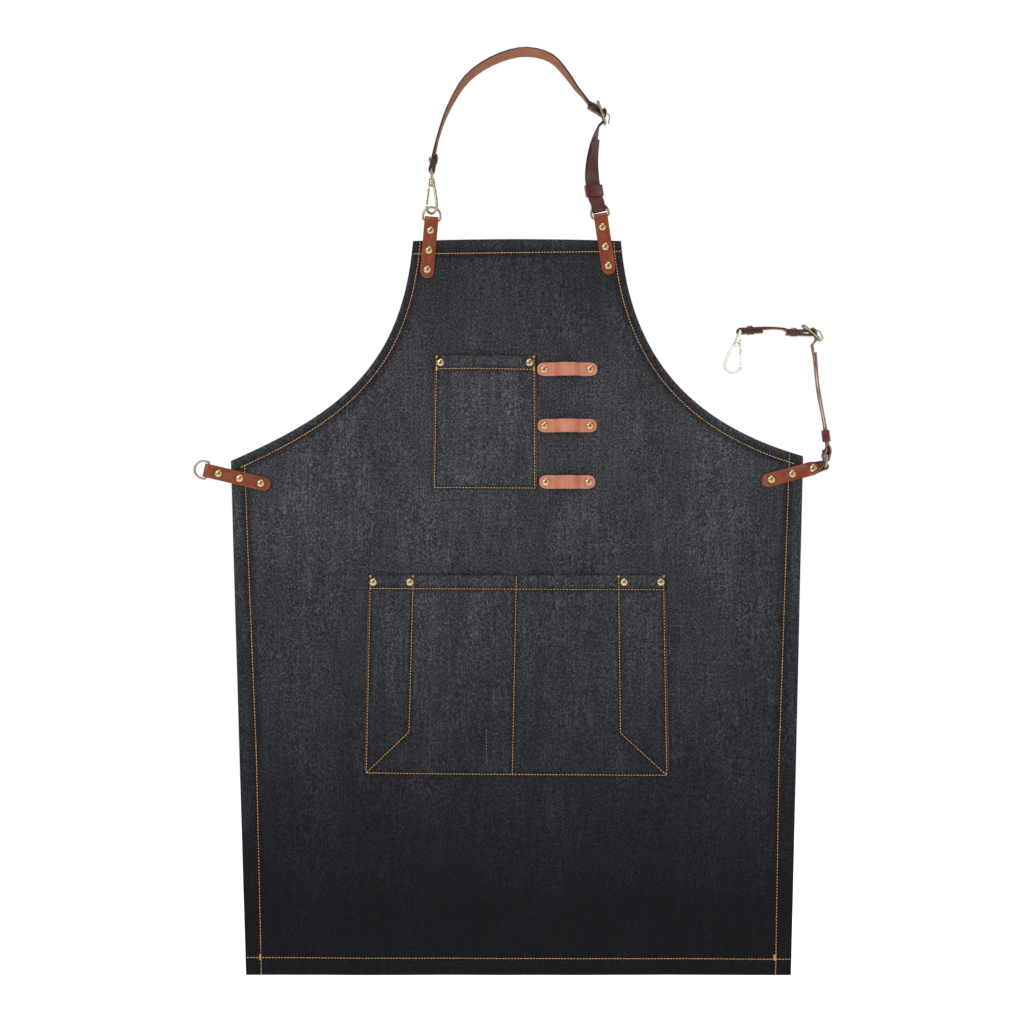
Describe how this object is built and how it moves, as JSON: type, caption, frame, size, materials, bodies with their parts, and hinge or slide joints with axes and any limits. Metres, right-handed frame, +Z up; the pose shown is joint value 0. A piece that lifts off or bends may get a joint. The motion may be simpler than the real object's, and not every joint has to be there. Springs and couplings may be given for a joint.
{
  "type": "work apron",
  "caption": "Denim bib work apron with patch pockets, leather pen loops and tabs, an adjustable leather neck strap and a clip-on waist strap.",
  "frame": {"origin": "the underside of the neck strap at its highest point, where a hook or a neck carries the apron; X is 0 at the apron's middle", "axes": "+Z up, -Y out of the front face, +X to the right seen from the front"},
  "size_m": [0.6767, 0.0218, 0.9825],
  "materials": {
    "denim": "washed near-black denim twill",
    "tab_leather": "polished chestnut leather with burnished edges",
    "loop_leather": "paler tan leather",
    "strap_leather": "dark brown leather with a lighter flesh side",
    "keeper_leather": "polished deep red-brown leather",
    "antique_brass": "antique brass, softly worn",
    "thread": "golden tan topstitch thread"
  },
  "bodies": {
    "neck_strap_assembly": {"neck_strap": "strap_leather", "neck_adjuster_strap": "strap_leather", "neck_dring_left": "antique_brass", "neck_dring_right": "antique_brass", "neck_buckle_frame": "antique_brass", "neck_strap_rivet_snap": "antique_brass", "neck_strap_rivet_buckle": "antique_brass", "neck_snap_swivel": "antique_brass"},
    "neck_keeper_sleeve": {"neck_keeper": "keeper_leather"},
    "neck_prong": {"neck_buckle_prong": "antique_brass"},
    "neck_hook": {"neck_snap_hook": "antique_brass"},
    "neck_gate": {"neck_snap_gate": "antique_brass"},
    "apron": {"apron_body": "denim", "chest_pocket": "denim", "chest_pocket_rivet_left": "antique_brass", "chest_pocket_rivet_right": "antique_brass", "lower_pocket": "denim", "lower_pocket_rivet_inner_left": "antique_brass", "lower_pocket_rivet_inner_right": "antique_brass", "lower_pocket_rivet_outer_left": "antique_brass", "lower_pocket_rivet_outer_right": "antique_brass", "neck_tab_left": "tab_leather", "neck_tab_left_rivet_1": "antique_brass", "neck_tab_left_rivet_2": "antique_brass", "neck_tab_left_rivet_3": "antique_brass", "neck_tab_right": "tab_leather", "neck_tab_right_rivet_1": "antique_brass", "neck_tab_right_rivet_2": "antique_brass", "neck_tab_right_rivet_3": "antique_brass", "pen_loop_bottom": "loop_leather", "pen_loop_bottom_rivet_left": "antique_brass", "pen_loop_bottom_rivet_right": "antique_brass", "pen_loop_middle": "loop_leather", "pen_loop_middle_rivet_left": "antique_brass", "pen_loop_middle_rivet_right": "antique_brass", "pen_loop_top": "loop_leather", "pen_loop_top_rivet_left": "antique_brass", "pen_loop_top_rivet_right": "antique_brass", "waist_tab_left": "tab_leather", "waist_tab_left_rivet_1": "antique_brass", "waist_tab_left_rivet_2": "antique_brass", "waist_tab_left_rivet_3": "antique_brass", "waist_tab_right": "tab_leather", "waist_tab_right_rivet_1": "antique_brass", "waist_tab_right_rivet_2": "antique_brass", "waist_tab_right_rivet_3": "antique_brass"},
    "waist_ring": {"waist_dring_left": "antique_brass"},
    "waist_strap_assembly": {"waist_dring_right": "antique_brass", "waist_adjuster_strap": "strap_leather", "waist_buckle_frame": "antique_brass"},
    "waist_keeper_sleeve": {"waist_keeper": "keeper_leather"},
    "waist_prong": {"waist_buckle_prong": "antique_brass"},
    "waist_short_strap_assembly": {"waist_short_strap": "strap_leather", "waist_strap_rivet_snap": "antique_brass", "waist_strap_rivet_buckle": "antique_brass"},
    "waist_swivel": {"waist_snap_swivel": "antique_brass"},
    "waist_hook": {"waist_snap_hook": "antique_brass"},
    "waist_gate": {"waist_snap_gate": "antique_brass"}
  },
  "joints": [
    {"name": "apron_swing", "type": "hinge", "parent": "neck_strap_assembly", "child": "apron", "pos_m": [-0.0907, 0.0006, -0.1738], "axis": [0.9998, 0, 0.0195], "range_deg": [-35, 35]},
    {"name": "neck_keeper_slide", "type": "slide", "parent": "neck_strap_assembly", "child": "neck_keeper_sleeve", "axis": [-0.16, 0, 0.9871], "range_m": [0, 0.004]},
    {"name": "neck_prong_lift", "type": "hinge", "parent": "neck_strap_assembly", "child": "neck_prong", "pos_m": [0.0896, 0.0006, -0.0602], "axis": [0, -1, 0], "range_deg": [0, 30]},
    {"name": "neck_snap_turn", "type": "hinge", "parent": "neck_strap_assembly", "child": "neck_hook", "pos_m": [-0.0903, 0.0006, -0.121], "axis": [0, 0, 1], "range_deg": [-25, 25]},
    {"name": "neck_gate_open", "type": "hinge", "parent": "neck_hook", "child": "neck_gate", "pos_m": [-0.09319, 0.00405, -0.1392], "axis": [-0.7659, -0.6429, 0], "range_deg": [0, 12], "stiffness_Nm_per_rad": 0.02, "springref_deg": -11.46},
    {"name": "waist_ring_turn", "type": "hinge", "parent": "apron", "child": "waist_ring", "pos_m": [-0.328, 0.0006, -0.4393], "axis": [0.2284, 0, 0.9736], "range_deg": [-120, 120]},
    {"name": "waist_strap_swing", "type": "hinge", "parent": "apron", "child": "waist_strap_assembly", "pos_m": [0.3255, 0.0006, -0.4335], "axis": [-0.0538, 0.9782, 0.2008], "range_deg": [-8, 170]},
    {"name": "waist_keeper_slide", "type": "slide", "parent": "waist_strap_assembly", "child": "waist_keeper_sleeve", "axis": [-0.1302, 0, 0.9915], "range_m": [0, 0.004]},
    {"name": "waist_prong_lift", "type": "hinge", "parent": "waist_strap_assembly", "child": "waist_prong", "pos_m": [0.3122, 0.0006, -0.2934], "axis": [0, -1, 0], "range_deg": [0, 30]},
    {"name": "waist_short_strap_bend", "type": "hinge", "parent": "waist_strap_assembly", "child": "waist_short_strap_assembly", "pos_m": [0.3122, 0.0006, -0.2934], "axis": [0, -1, 0], "range_deg": [0, 45]},
    {"name": "waist_snap_swing", "type": "hinge", "parent": "waist_short_strap_assembly", "child": "waist_swivel", "pos_m": [0.236, 0.0006, -0.2915], "axis": [0, 1, 0], "range_deg": [-25, 110]},
    {"name": "waist_snap_turn", "type": "hinge", "parent": "waist_swivel", "child": "waist_hook", "pos_m": [0.236, 0.0006, -0.2915], "axis": [0.2079, 0, 0.9781], "continuous": true},
    {"name": "waist_gate_open", "type": "hinge", "parent": "waist_hook", "child": "waist_gate", "pos_m": [0.23661, 0.00029, -0.31024], "axis": [0.0683, 0.9976, -0.0145], "range_deg": [0, 28], "stiffness_Nm_per_rad": 0.02, "springref_deg": -11.46}
  ]
}
